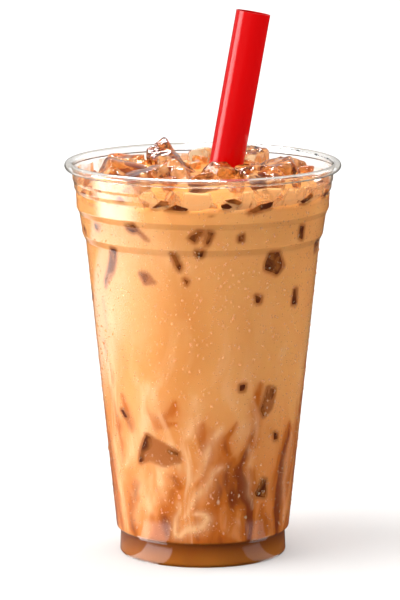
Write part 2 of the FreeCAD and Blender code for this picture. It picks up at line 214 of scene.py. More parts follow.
class Nodes:
    """The node tree of a new material or world, with short ways to add and join nodes."""

    def __init__(self, name, kind="Material"):
        self.owner = bpy.data.worlds.new(name) if kind == "World" else bpy.data.materials.new(name)
        self.owner.use_nodes = True
        self.tree = self.owner.node_tree
        self.tree.nodes.clear()
        self.output = self.add("Output" + kind)

    def add(self, kind, settings=None, **inputs):
        """A node with its settings and its inputs, named with _ for a space. An input may be a socket."""
        node = self.tree.nodes.new("ShaderNode" + kind)
        for key, value in (settings or {}).items():
            setattr(node, key, value)
        for key, value in inputs.items():
            self.feed(node, key.replace("_", " "), value)
        return node

    def feed(self, node, key, value):
        socket = node.inputs[int(key)] if key.isdigit() else node.inputs[key]
        if isinstance(value, bpy.types.NodeSocket):
            self.tree.links.new(value, socket)
        else:
            socket.default_value = value

    def math(self, operation, *values, clamp=False):
        node = self.add("Math", {"operation": operation, "use_clamp": clamp})
        for index, value in enumerate(values):
            self.feed(node, str(index), value)
        return node.outputs[0]

    def times(self, first, *others, clamp=False):
        for other in others:
            first = self.math("MULTIPLY", first, other, clamp=clamp)
        return first

    def plus(self, first, *others):
        for other in others:
            first = self.math("ADD", first, other)
        return first

    def vector(self, operation, *values):
        node = self.add("VectorMath", {"operation": operation})
        for index, value in enumerate(values):
            self.feed(node, str(index), value)
        return node.outputs

    def between(self, value, low, high, smooth=True):
        """0 at low, 1 at high."""
        kind = "SMOOTHSTEP" if smooth else "LINEAR"
        node = self.add("MapRange", {"interpolation_type": kind}, Value=value, From_Min=low, From_Max=high)
        return node.outputs["Result"]

    def mix(self, share, first, second):
        """A colour that passes from the first to the second."""
        node = self.add("Mix", {"data_type": "RGBA"})
        for index, value in ((0, share), (6, first), (7, second)):
            self.feed(node, str(index), value)
        return node.outputs[2]

    def position(self):
        return self.add("TexCoord").outputs["Object"]

    def height(self):
        return self.add("SeparateXYZ", Vector=self.position()).outputs["Z"]

    def stretched(self, vector, scale):
        return self.add("Mapping", Vector=vector, Scale=scale).outputs["Vector"]

    def noise(self, vector, scale, detail=3.0, distortion=0.0):
        node = self.add("TexNoise", Vector=vector, Scale=scale, Detail=detail, Distortion=distortion)
        return node.outputs["Fac"]

    def attribute(self, name):
        return self.add("Attribute", {"attribute_name": name}).outputs["Fac"]

    def bump(self, height, strength, distance):
        return self.add("Bump", Height=height, Strength=strength, Distance=distance).outputs["Normal"]

    def surface(self, fixed, **varied):
        """The main shader: what is the same all over is set on its sockets, and what varies is linked."""
        shader = self.add("BsdfPrincipled", **varied)
        for key, value in fixed.items():
            shader.inputs[key].default_value = value
        return shader.outputs[0]

    def blend(self, share, first, second):
        """A shader that passes from the first to the second."""
        node = self.add("MixShader")
        for socket, value in zip(node.inputs, (share, first, second)):
            self.tree.links.new(value, socket)
        return node.outputs[0]

    def lit_through(self, shader, shade):
        """Lets light reach what is behind a clear shell: to a shadow ray it is a plain tinted pane."""
        pane = self.add("BsdfTransparent", Color=shade).outputs[0]
        return self.blend(self.add("LightPath").outputs["Is Shadow Ray"], shader, pane)

    def finish(self, shader):
        self.tree.links.new(shader, self.output.inputs["Surface"])
        return self.owner


def rgb(red, green, blue):
    return (red, green, blue, 1.0)


# ---------------- materials


# The colours of the drink and of what runs in it, as linear reflectances.
TAN_DEEP = rgb(0.72, 0.325, 0.085)
TAN_PALE = rgb(0.80, 0.410, 0.135)
TAN_LOW = rgb(0.73, 0.235, 0.035)
ORANGE_BROWN = rgb(0.55, 0.150, 0.011)
DARK_COFFEE = rgb(0.27, 0.050, 0.003)
CREAM = rgb(0.87, 0.54, 0.28)
# Coffee in the foot, partly painted shade: darker brown at its top under the body, amber lower down.
FOOT_COFFEE_AND_SHADE = rgb(0.26, 0.062, 0.002)
FOOT_AMBER = rgb(0.52, 0.180, 0.014)
# Painted shade where ice shows: a halo of thin milk over ice, and the dark of clear ice standing in for the
# dim light seen through it.
ICE_HALO_SHADE = rgb(0.46, 0.155, 0.036)
ICE_SHADE_DEEP = rgb(0.11, 0.020, 0.002)
ICE_SHADE_SOFT = rgb(0.34, 0.100, 0.016)


def clear_plastic():
    """PET: clear and glossy, with the faint waviness of a formed wall."""
    nodes = Nodes("clear_plastic")
    waves = nodes.noise(nodes.stretched(nodes.position(), (1, 1, 0.3)), 60.0, detail=1.0)
    look = {"Base Color": rgb(0.985, 0.99, 0.99), "Transmission Weight": 1.0, "Roughness": 0.04, "IOR": 1.5}
    shader = nodes.surface(look, Normal=nodes.bump(waves, 0.12, 0.4 * MM))
    return nodes.finish(nodes.lit_through(shader, rgb(0.97, 0.97, 0.97)))


def water():
    """Condensation: clear, with a warm matt share that paints the drink's light gathered through the beads,
    and warm-tinted painted glints.
    """
    nodes = Nodes("water")
    # Painted light: the warm matt share stands in for light gathered through the beads, and the warm tint
    # paints their glints.
    tint = {"Base Color": rgb(0.96, 0.74, 0.48), "Specular Tint": rgb(1.0, 0.84, 0.66)}
    clear = {"Transmission Weight": 0.84, "Roughness": 0.06, "IOR": 1.13}
    shader = nodes.surface(tint | clear)
    return nodes.finish(nodes.lit_through(shader, rgb(0.99, 0.98, 0.97)))


def ice_shades(nodes, place):
    """The mottled dark brown of ice that shows through the wall: painted shade for the dim light seen
    through clear ice into the drink.
    """
    mottle = nodes.between(nodes.noise(place, 200.0, detail=3.0, distortion=0.6), 0.4, 0.68)
    return nodes.mix(mottle, ICE_SHADE_DEEP, ICE_SHADE_SOFT)


def milk_coffee():
    """The drink: tan, with streaks of coffee and curls of cream low down, painted shade at the top of its
    foot under the body, and painted shade where ice shows.
    """
    nodes = Nodes("milk_coffee")
    place = nodes.position()
    height = nodes.height()
    bend = nodes.add("TexNoise", Vector=place, Scale=32.0, Detail=1.0).outputs["Color"]
    drift = nodes.vector("SUBTRACT", bend, (0.5, 0.5, 0.5))[0]
    bent = nodes.vector("MULTIPLY_ADD", drift, (14 * MM, 14 * MM, 26 * MM), place)[0]
    flow = nodes.stretched(bent, (1.0, 1.0, 0.2))

    cloud = nodes.noise(flow, 34.0, detail=2.0)
    tan = nodes.mix(nodes.between(cloud, 0.35, 0.65), TAN_DEEP, TAN_PALE)
    low = nodes.between(height, 68 * MM, 22 * MM)
    base = nodes.mix(nodes.times(low, 0.6), tan, TAN_LOW)

    wisps = nodes.noise(flow, 85.0, distortion=1.0)
    threads = nodes.math("SUBTRACT", nodes.noise(flow, 330.0, detail=2.0, distortion=0.6), 0.5)
    rising = nodes.times(nodes.between(wisps, 0.50, 0.68), low)
    spread = nodes.plus(nodes.times(rising, 0.55), nodes.attribute("caramel"))
    caramel = nodes.times(nodes.math("MULTIPLY_ADD", threads, 1.3, 1.0), spread)
    with_orange = nodes.mix(nodes.between(caramel, 0.0, 0.5), base, ORANGE_BROWN)
    with_coffee = nodes.mix(nodes.between(caramel, 0.5, 1.2), with_orange, DARK_COFFEE)

    sinking = nodes.times(nodes.between(wisps, 0.46, 0.30), nodes.between(height, 105 * MM, 50 * MM))
    pale = nodes.plus(nodes.times(sinking, 0.6), nodes.attribute("cream"))
    cream = nodes.times(nodes.math("MULTIPLY_ADD", threads, 2.2, 1.0), pale, clamp=True)
    with_cream = nodes.mix(cream, with_coffee, CREAM)

    # Painted shade: the foot is darker brown at its top, under the body's ledge, and lighter amber lower
    # down; partly its coffee.
    foot = nodes.between(height, 9.6 * MM, 8.2 * MM)
    foot_light = nodes.times(nodes.between(height, 8.0 * MM, 1.5 * MM), cloud)
    with_foot = nodes.mix(foot, with_cream, nodes.mix(foot_light, FOOT_COFFEE_AND_SHADE, FOOT_AMBER))

    # Painted shade: a halo where ice lies near, and the dark of clear ice where it is closest.
    near_ice = nodes.attribute("near_ice")
    with_halo_shade = nodes.mix(nodes.between(near_ice, 0.0, 0.6), with_foot, ICE_HALO_SHADE)
    colour = nodes.mix(nodes.between(near_ice, 0.6, 1.0), with_halo_shade, ice_shades(nodes, place))

    # Matt under the wall, and wet where its surface is free.
    rough = nodes.math("MULTIPLY_ADD", nodes.attribute("free_surface"), -0.38, 0.45)
    ripple = nodes.bump(nodes.noise(place, 180.0, detail=2.0), 0.15, 0.3 * MM)
    look = {
        "IOR": 1.34,
        "Specular IOR Level": 0.2,
        "Subsurface Weight": 0.5,
        "Subsurface Radius": (1.0, 0.6, 0.35),
        "Subsurface Scale": 2.0 * MM,
    }
    return nodes.finish(nodes.surface(look, Base_Color=colour, Roughness=rough, Normal=ripple))


def ice():
    """Wet ice: clear amber in its peaks, and filmed with the drink lower down."""
    nodes = Nodes("ice")
    place = nodes.position()
    fine = nodes.noise(place, 420.0)
    coarse = nodes.noise(place, 150.0, detail=2.0, distortion=0.8)
    relief = nodes.bump(nodes.math("MULTIPLY_ADD", fine, 0.4, coarse), 0.6, 0.9 * MM)

    tint = nodes.mix(nodes.noise(place, 120.0, detail=2.0), rgb(0.58, 0.29, 0.10), rgb(0.93, 0.76, 0.54))
    wet = {"Coat Roughness": 0.02}
    glassy = {"Transmission Weight": 1.0, "Roughness": 0.04, "IOR": 1.31, "Coat Weight": 0.3}
    clear = nodes.surface(wet | glassy, Base_Color=tint, Normal=relief)
    filmed = {"Base Color": rgb(0.64, 0.28, 0.085), "Roughness": 0.15, "Coat Weight": 0.6}
    film = nodes.surface(wet | filmed, Normal=relief)

    patches = nodes.noise(place, 150.0, distortion=1.2)
    dry = nodes.between(nodes.height(), LEVEL + 5 * MM, LEVEL + 17 * MM, smooth=False)
    share = nodes.between(nodes.math("MULTIPLY_ADD", dry, -0.14, patches), 0.42, 0.62)
    return nodes.finish(nodes.lit_through(nodes.blend(share, clear, film), rgb(0.74, 0.56, 0.38)))


def ice_in_drink():
    """Ice seen through the wall, painted dark as painted shade for the dim light seen through clear ice:
    darkest where it is pressed to it, with a lighter painted halo shade where milk lies between.
    """
    nodes = Nodes("ice_in_drink")
    pressed = nodes.between(nodes.attribute("pressed"), 0.0, 1.0)
    colour = nodes.mix(pressed, ICE_HALO_SHADE, ice_shades(nodes, nodes.position()))
    look = {"Roughness": 0.25, "Specular IOR Level": 0.1, "IOR": 1.31}
    return nodes.finish(nodes.surface(look, Base_Color=colour))


def milk_film():
    """A thin coat of the drink left on the wall above it, broken where it has run down."""
    nodes = Nodes("milk_film")
    runs = nodes.noise(nodes.stretched(nodes.position(), (1, 1, 0.5)), 140.0, detail=4.0, distortion=0.8)
    above = nodes.between(nodes.height(), LEVEL, LEVEL + 9 * MM, smooth=False)
    share = nodes.between(nodes.math("MULTIPLY_ADD", above, -0.20, runs), 0.28, 0.52)
    coat = nodes.surface({"Base Color": rgb(0.76, 0.40, 0.155), "Roughness": 0.2, "IOR": 1.34})
    bare = nodes.add("BsdfTransparent", Color=rgb(0.99, 0.97, 0.94)).outputs[0]
    film = nodes.blend(nodes.times(share, 0.85), bare, coat)
    return nodes.finish(nodes.lit_through(film, rgb(0.93, 0.87, 0.78)))


def straw_plastic():
    """Glossy coloured polypropylene, with faint lines along it from its making."""
    nodes = Nodes("straw_plastic")
    place = nodes.position()
    lines = nodes.noise(nodes.stretched(place, (1, 1, 0.02)), 900.0, detail=2.0)
    tone = nodes.noise(nodes.stretched(place, (1, 1, 0.2)), 40.0, detail=2.0)
    colour = nodes.mix(tone, rgb(0.50, 0.0, 0.0), rgb(0.60, 0.0, 0.001))
    look = {"Roughness": 0.14, "Specular IOR Level": 0.2, "IOR": 1.45}
    return nodes.finish(nodes.surface(look, Base_Color=colour, Normal=nodes.bump(lines, 0.05, 0.1 * MM)))


MAKERS = (clear_plastic, milk_coffee, ice, ice_in_drink, milk_film, straw_plastic, water)
MATERIALS = {maker.__name__: maker() for maker in MAKERS}

# ---------------- the cup's own section


def wall_inside():
    """The inside of the cup's wall, from the axis to the lip, as (radius, height) from its CAD mesh."""
    beside = {}
    with editing(merged_copy(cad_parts["cup"].data)) as form:
        cut_edges(form, (0, 0, 0), (0, 1, 0), clear=True)
        for edge in cut_edges(form, (0, 0, 0), (1, 0, 0)):
            first, second = edge.verts
            beside.setdefault(first, []).append(second)
            beside.setdefault(second, []).append(first)
        on_axis = [vertex for vertex in beside if abs(vertex.co.y) < 0.01 * MM]
        here = max(on_axis, key=lambda vertex: vertex.co.z)
        chain, last = [here], None
        while here.co.z < LIP - 0.01 * MM:
            onward = [vertex for vertex in beside[here] if vertex is not last and vertex not in chain[-3:]]
            last, here = here, onward[0]
            chain.append(here)
        outline = np.array([(-vertex.co.y, vertex.co.z) for vertex in chain])
    steps = np.linalg.norm(np.diff(outline, axis=0), axis=1)
    return outline[np.concatenate([[True], steps > 0.005 * MM])]


INSIDE = wall_inside()


def inside_radius(height):
    """The radius of the cup's inside at a height above its foot ring."""
    wall = INSIDE[np.argmin(INSIDE[:, 1]) :]
    return np.interp(height, wall[:, 1], wall[:, 0])


def outwards(outline, distance):
    """The outline moved into the wall by a distance."""
    ahead = np.gradient(outline, axis=0)
    length = np.hypot(ahead[:, 0], ahead[:, 1])[:, None]
    across = np.stack([ahead[:, 1], -ahead[:, 0]], axis=1) / length
    moved = outline + across * distance
    moved[0, 0] = 0
    return moved


def resampled(outline, spacing):
    """The outline with points added so that none lie further apart than the spacing."""
    points = [outline[0]]
    for start, end in zip(outline, outline[1:]):
        count = max(1, int(math.ceil(np.linalg.norm(end - start) / spacing)))
        points += [start + (end - start) * step / count for step in range(1, count + 1)]
    return np.array(points)


def revolved(rings, segments):
    """Points and faces of (radius, height) rings about Z, the first and last of them points on it."""
    angles = np.arange(segments) * 2 * math.pi / segments
    around = [polar(radius, angle, height) for radius, height in rings[1:-1] for angle in angles]
    points = [polar(0, 0, rings[0][1])] + around + [polar(0, 0, rings[-1][1])]
    faces = []
    last = len(points) - 1
    for step in range(segments):
        following = (step + 1) % segments
        faces.append((0, 1 + following, 1 + step))
        for ring in range(len(rings) - 3):
            here, above = 1 + ring * segments, 1 + (ring + 1) * segments
            faces.append((here + step, here + following, above + following, above + step))
        top = 1 + (len(rings) - 3) * segments
        faces.append((top + step, top + following, last))
    return points, faces


# ---------------- ice


def melted(thing, voxel, swell, seed):
    """Rounds a block into wet, unevenly melted ice: remeshed finely, then pushed in and out."""
    remeshed(thing, voxel)
    smooth = thing.modifiers.new("smooth", "SMOOTH")
    smooth.iterations = 4
    smooth.factor = 0.5
    with_modifiers(thing)
    mesh = thing.data
    points, directions = coordinates(mesh), normals(mesh)
    shift = Vector((seed * 1.7, seed * 0.9, seed * 2.3)) * 10
    push = []
    for point in points:
        place = Vector(point) / MM
        hollow = noise.noise(place / 6.5 + shift)
        dent = noise.noise(place / 2.8 + shift)
        push.append(-0.35 + 0.85 * hollow + 0.32 * dent)
    set_coordinates(mesh, points + directions * (np.array(push) * swell * MM)[:, None])
    dress(mesh)
    return thing


def chipped(mesh, seed, cuts, depth, keep=None):
    """Breaks corners off a block by flat cuts under its furthest points, but not on the side to keep."""
    chooser = np.random.default_rng(seed)
    with editing(mesh) as form:
        for _ in range(cuts):
            direction = Vector(chooser.normal(size=3)).normalized()
            if keep and direction.dot(keep) > 0.2:
                direction -= 1.2 * direction.dot(keep) * keep
                direction.normalize()
            reach = max(vertex.co.dot(direction) for vertex in form.verts)
            place = direction * (reach - depth * chooser.uniform(0.5, 1.0))
            rim = cut_edges(form, place, direction, clear=True)
            bmesh.ops.holes_fill(form, edges=rim, sides=0)
        bmesh.ops.recalc_face_normals(form, faces=form.faces)


def floating_ice():
    """Each CAD piece of ice, chipped and melted, and those at the wall brought against it."""
    pieces = []
    for number, node in enumerate(FLOATING):
        mesh = merged_copy(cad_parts[node].data)
        middle = Vector(coordinates(mesh).mean(axis=0))
        away = Vector((middle.x, middle.y, 0)).normalized()
        mesh.transform(Matrix.Translation(-middle))
        chipped(mesh, seed=number + 5, cuts=5, depth=3.0 * MM, keep=away)
        mesh.transform(Matrix.Translation(middle))
        piece = add_object(node.replace("ice_", "floating_ice_"), mesh, MATERIALS["ice"])
        melted(piece, 0.55 * MM, 0.8, number)
        points = coordinates(piece.data)
        room = inside_radius(points[:, 2]) + WALL_REACH / 2 - np.hypot(points[:, 0], points[:, 1])
        if room.min() < 2 * MM:
            set_coordinates(piece.data, points + np.array(away) * room.min())
        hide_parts(node)
        pieces.append(piece)
    return pieces


# How often a place is tried for a chip before the rest of them is left out.
CHIP_TRIES = 4000


def ice_chips(count, at_wall, seed, obstacles):
    """Smaller broken pieces between the large ones: first a ring at the wall, then some over the heap."""
    chooser = np.random.default_rng(seed)
    tree = tree_of(obstacles)
    chips, placed = [], []
    for _ in range(CHIP_TRIES):
        if len(chips) == count:
            break
        size = chooser.uniform(3.8, 7.2) * MM
        bearing = chooser.uniform(0, 2 * math.pi)
        if len(chips) < at_wall:
            radius = inside_radius(LEVEL + 2 * MM) - 0.42 * size
            height = LEVEL + chooser.uniform(0.6, 3.4) * MM
        else:
            size *= 1.3
            radius = 40 * MM * math.sqrt(chooser.uniform(0.05, 1.05))
            height = crown_height(radius) + chooser.uniform(-0.2, 0.15) * size
        centre = Vector(polar(radius, bearing, height))
        nearest, normal, _, gap = tree.find_nearest(centre)
        if gap < 0.62 * size or (centre - nearest).dot(normal) < 0:
            continue
        if any((centre - other).length < 0.62 * (size + reach) for other, reach in placed):
            continue
        mesh = block("chip", *(size * chooser.uniform(0.75, 1.05, size=3)))
        chipped(mesh, seed=seed + len(chips), cuts=4, depth=0.3 * size)
        chip = melted(add_object("chip", mesh), 0.42 * MM, 0.35, seed + len(chips))
        turn = Matrix.Rotation(chooser.uniform(0, math.pi), 4, chooser.normal(size=3))
        chip.data.transform(Matrix.Translation(centre) @ turn)
        points = coordinates(chip.data)
        room = inside_radius(points[:, 2]) + WALL_REACH / 2
        points[:, :2] *= np.minimum(1, room / np.hypot(points[:, 0], points[:, 1]))[:, None]
        set_coordinates(chip.data, points)
        chips.append(chip.data.copy())
        placed.append((centre, size))
        bpy.data.objects.remove(chip)
    piece = add_object("ice_chips", mesh_from("ice_chips", *gathered(chips)), MATERIALS["ice"])
    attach(piece, "root")
    return piece


# The ice that shows through the wall at the front. Each is an outline of corners: bearing in degrees,
# height in millimetres, and how hard it is pressed to the wall there: 1 fully, 0 where it leaves it.
SUNK_ICE = [
    [(263, 120, 1), (268, 123, 1), (271, 122.5, 0.6), (266.5, 118, 0.7)],
    [(272, 123, 0.7), (275.5, 122, 0.9), (272, 117, 0.7), (270.5, 118.5, 0.3)],
    [(266, 115.5, 0.8), (271, 116, 1), (270, 113, 0.5), (267.5, 113, 0.8)],
    [(219.5, 114, 0.9), (224, 114.5, 0.4), (221, 106, 0.5)]
    + [(211.5, 98.5, 0.8), (211, 101.5, 1), (216, 107, 1)],
    [(232, 123, 1), (237, 124, 1), (239.5, 121.5, 1), (236, 120.5, 0.6), (233, 121.5, 0.8)],
    [(237.5, 122, 1), (240, 121.5, 0.8), (245, 118, 0.2), (242, 119, 0.4)],
    [(286.5, 120.5, 1), (289, 121, 1), (289, 118.5, 1), (286.5, 118.5, 1)],
    [(321, 122, 1), (324.5, 121.5, 0.6), (324.5, 116.5, 0.6), (321, 117.5, 1)],
    [(254, 115, 0.5), (257, 114, 0.8), (260, 109.5, 1), (258.5, 107.5, 1), (256.5, 110, 0.6)],
    [(260.5, 105.5, 1), (263, 104.5, 1), (262, 103, 1)],
    [(237, 106.5, 0.9), (241, 107, 0.8), (246, 103.5, 0), (240, 102.5, 0.5)],
    [(303.5, 114, 0.9), (309.5, 113.5, 1), (314, 108, 0.3)]
    + [(309, 105, 0.8), (301.5, 107.5, 1), (301.5, 110, 1)],
    [(322.5, 99.5, 1), (326, 99, 0.4), (326.5, 93, 0.4), (322, 93.5, 1)],
    [(297, 99, 1), (301, 98, 0.5), (300.5, 95.5, 0.4), (297.5, 96, 1)],
    [(210, 122, 0.8), (214, 121.5, 0.3), (213, 119.5, 0.4), (209.5, 120, 0.8)],
    [(235, 48.5, 1), (256, 42.5, 0.9), (257, 39, 0.2)]
    + [(247, 37, 0), (236, 38.5, 0.2), (228, 37, 0.9), (230, 42, 1)],
    [(316, 48, 1), (319.5, 47, 1), (320, 45, 0.7), (316.5, 45, 0.8)],
    [(309.5, 32, 1), (313, 31, 1), (313.5, 24, 1), (305, 25, 1), (303.5, 26.5, 0.8)],
    [(308.5, 65.5, 0.5), (314.5, 64, 0.9), (313, 57, 0.3), (307, 54, 0.8), (304, 57, 1)],
    [(290.5, 67, 0.8), (294, 67, 1), (293.5, 64.5, 0.4), (290.5, 64.5, 0.8)],
    [(215, 55.5, 0.8), (218, 55.5, 0.8), (222, 53, 0.6), (219, 52.5, 0.9)],
    [(246, 130, 0.8), (251.5, 133.5, 1), (255.5, 133, 1), (255, 131.5, 0.6), (249, 130, 1)],
    [(253, 130, 1), (258, 132, 0.8), (264, 130.5, 0.9), (263, 129.5, 1), (256, 129.5, 0.4)],
    [(277.5, 132, 0.8), (280.5, 132.5, 1), (283.5, 131, 0.6), (281.5, 130, 1), (278, 130.5, 0.8)],
    [(279, 133.5, 1), (284, 134, 0.8), (287.5, 132.5, 1), (286, 131.5, 0.7), (281, 132.5, 0.5)],
    [(290, 129, 1), (295, 131.5, 1), (303, 132.5, 1), (302, 130, 0.6), (293, 128, 1)],
    [(225, 131, 0.6), (231, 134, 1), (234, 132, 0.8), (229, 130, 0.3)],
    [(318, 131, 1), (326, 133.5, 0.8), (328, 131.5, 1), (321, 129.5, 0.6)],
]
# The rest of the way round: bearing, height and size of each piece, whose outline is left to chance.
SUNK_BEHIND = [
    (345, 112, 9), (10, 82, 10), (20, 118, 5), (40, 100, 8), (60, 48, 8), (75, 116, 7), (88, 94, 5),
    (110, 84, 9), (120, 38, 9), (140, 108, 8), (150, 120, 4), (165, 66, 8), (186, 92, 8), (30, 60, 4),
    (96, 60, 4), (195, 118, 5), (343, 131.5, 7), (358, 132, 6), (16, 131, 8), (34, 132.5, 6), (55, 131, 7),
    (78, 132, 8), (97, 131, 6), (118, 132, 8), (139, 131, 6), (160, 132.5, 7), (181, 131, 7), (203, 132, 7),
]


def outline_by_chance(bearing, height, size, chooser):
    """A broken outline of three to six corners, long or short, in the form of those above."""
    count = int(chooser.integers(3, 7))
    turn = chooser.uniform(0, 2 * math.pi)
    flatness = chooser.uniform(0.4, 0.9) if height < LEVEL / MM else 0.45
    tilt = chooser.uniform(-0.5, 0.5)
    corners = []
    for corner in range(count):
        angle = turn + 2 * math.pi * (corner + chooser.uniform(-0.25, 0.25)) / count
        reach = size / 2 * chooser.uniform(0.75, 1.15)
        along, over = reach * math.cos(angle), reach * math.sin(angle) * flatness
        across = along * math.cos(tilt) - over * math.sin(tilt)
        rise = along * math.sin(tilt) + over * math.cos(tilt)
        spread = math.degrees(across * MM / inside_radius(height * MM))
        corners.append((bearing + spread, height + rise, chooser.uniform(0.1, 1.2)))
    return corners


def shard(name, outline, depth):
    """A closed block from an outline at the wall, into it by as much as it is pressed, narrower within."""
    middle = np.array(outline).mean(axis=0)
    outer, inner = [], []
    for bearing, height, press in outline:
        radius = inside_radius(height * MM) + (0.9 * press - 0.1) * MM
        outer.append(polar(radius, math.radians(bearing), height * MM))
        turn, rise = middle[:2] + 0.7 * (np.array([bearing, height]) - middle[:2])
        inner.append(polar(inside_radius(rise * MM) - depth, math.radians(turn), rise * MM))
    count = len(outline)
    faces = [tuple(range(count)), tuple(reversed(range(count, 2 * count)))]
    for corner in range(count):
        following = (corner + 1) % count
        faces.append((corner, corner + count, following + count, following))
    mesh = mesh_from(name, outer + inner, faces)
    with editing(mesh) as form:
        bmesh.ops.triangulate(form, faces=form.faces)
        bmesh.ops.recalc_face_normals(form, faces=form.faces)
    return mesh


def block(name, width, depth, height):
    """A box of ice about its own middle: depth along X, width along Y."""
    sides = [(x, y, z) for z in (-0.5, 0.5) for y in (-0.5, 0.5) for x in (-0.5, 0.5)]
    corners = np.array(sides) * (depth, width, height)
    faces = [(0, 2, 3, 1), (4, 5, 7, 6), (0, 1, 5, 4), (2, 6, 7, 3), (0, 4, 6, 2), (1, 3, 7, 5)]
    return mesh_from(name, corners, faces)


def ice_at_wall():
    """Pieces that lie against the wall in the drink, each melted to its shape and reaching just into it."""
    chooser = np.random.default_rng(9)
    outlines = SUNK_ICE + [outline_by_chance(*place, chooser) for place in SUNK_BEHIND]
    pieces = []
    for number, outline in enumerate(outlines, start=1):
        bearings, heights, _ = np.array(outline).T
        width = math.radians(np.ptp(bearings)) * inside_radius(heights[0] * MM)
        small = min(width, np.ptp(heights) * MM)
        mesh = shard(f"sunk_ice_{number:02d}", outline, min(1.2 * small, 7 * MM))
        piece = add_object(mesh.name, mesh, MATERIALS["ice_in_drink"])
        melted(piece, min(0.5 * MM, small / 8), 0.08 * min(small / MM, 5), number + 30)
        points = coordinates(piece.data)
        room = inside_radius(points[:, 2]) + WALL_REACH + 0.1 * MM
        radius = np.hypot(points[:, 0], points[:, 1])
        points[:, :2] *= np.minimum(1, room / radius)[:, None]
        set_coordinates(piece.data, points)
        # How hard each point is pressed to the wall sets how dark its painted shade is.
        set_attribute(piece.data, "pressed", (radius - room + 0.3 * MM) / (0.5 * MM))
        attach(piece, "root")
        pieces.append(piece)
    return pieces


# ---------------- the drink

# How finely its mesh is divided: about the axis, up the side, and from the wall to the axis.
DRINK_SEGMENTS = 280
SIDE_STEP = 1.0 * MM
TOP_RINGS = 44


def hollow_for(solid, distance, voxel=None):
    """A closed copy of a mesh to cut with, its surface moved inwards, and coarser if a voxel is given."""
    copy = merged_copy(solid)
    set_coordinates(copy, coordinates(copy) - normals(copy) * distance)
    hollow = add_object("hollow", copy)
    if voxel:
        remeshed(hollow, voxel)
        with_modifiers(hollow)
    return hollow


def surface_height(x, y, tree, wall):
    """The drink's surface: its crown, raised where it wets things, and lumpy with the ice under it."""
    radius = math.hypot(x, y)
    rest = crown_height(radius)
    to_ice = tree.find_nearest(Vector((x, y, rest)), 6 * MM)[3]
    to_ice = 6 * MM if to_ice is None else to_ice
    to_wall = max(wall - radius, 0)
    wetting = 0.8 * math.exp(-to_ice / (1.1 * MM)) + 0.3 * math.exp(-to_wall / (0.9 * MM))
    free = smoothstep(0, 6 * MM, to_wall)
    lumps = noise.noise(Vector((x, y, 0)) / (6.5 * MM)) + 0.5 * noise.noise(Vector((x, y, 0.03)) / (3 * MM))
    return rest + (wetting + lumps * (0.15 + 0.8 * free)) * MM


def line_shift(x, y):
    """How far the drink's line on the wall wanders from its level."""
    place = Vector((x, y, 0))
    return (0.5 * noise.noise(place / (16 * MM)) + 0.2 * noise.noise(place / (5 * MM))) * MM


def build_drink(ice_pieces):
    """The cup's inside filled up to its level, hollowed where ice and straw are in it."""
    outline = outwards(INSIDE, WALL_REACH)
    foot = INSIDE[:, 1].argmin()
    side = outline[: foot + np.argmax(outline[foot:, 1] > LEVEL)]
    edge_radius = inside_radius(LEVEL) + WALL_REACH
    side = resampled(np.vstack([side, (edge_radius, LEVEL)]), SIDE_STEP)
    top = np.linspace(edge_radius, 0, TOP_RINGS)[1:]
    rings = [tuple(ring) for ring in side] + [(radius, LEVEL) for radius in top]
    points, faces = revolved(rings, DRINK_SEGMENTS)
    points = np.array(points)
    solids = [piece.data for piece in ice_pieces] + [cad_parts["straw"].data]
    tree = tree_of(solids)
    rim = (len(side) - 2) * DRINK_SEGMENTS + 1
    for index in range(rim, len(points)):
        x, y = points[index, :2]
        points[index, 2] = surface_height(x, y, tree, edge_radius)
    near_line = LEVEL - 4 * MM
    for index in range(rim + DRINK_SEGMENTS):
        x, y, height = points[index]
        share = smoothstep(near_line, LEVEL, height)
        if share > 0:
            points[index, 2] = height + line_shift(x, y) * share
            points[index, :2] *= (inside_radius(points[index, 2]) + WALL_REACH) / math.hypot(x, y)
    mesh = mesh_from("milk_coffee_fill", points, faces)
    drink = add_object(mesh.name, mesh, MATERIALS["milk_coffee"])

    hollows = [hollow_for(solid, 0.4 * MM, voxel=1.0 * MM) for solid in solids[:-1]]
    hollows.append(hollow_for(solids[-1], 0.1 * MM))
    for hollow in hollows:
        cut = drink.modifiers.new(hollow.name, "BOOLEAN")
        cut.operation = "DIFFERENCE"
        cut.solver = "MANIFOLD"
        cut.object = hollow
    with_modifiers(drink)
    for hollow in hollows:
        bpy.data.objects.remove(hollow)
    dress(drink.data, MATERIALS["milk_coffee"])
    return drink


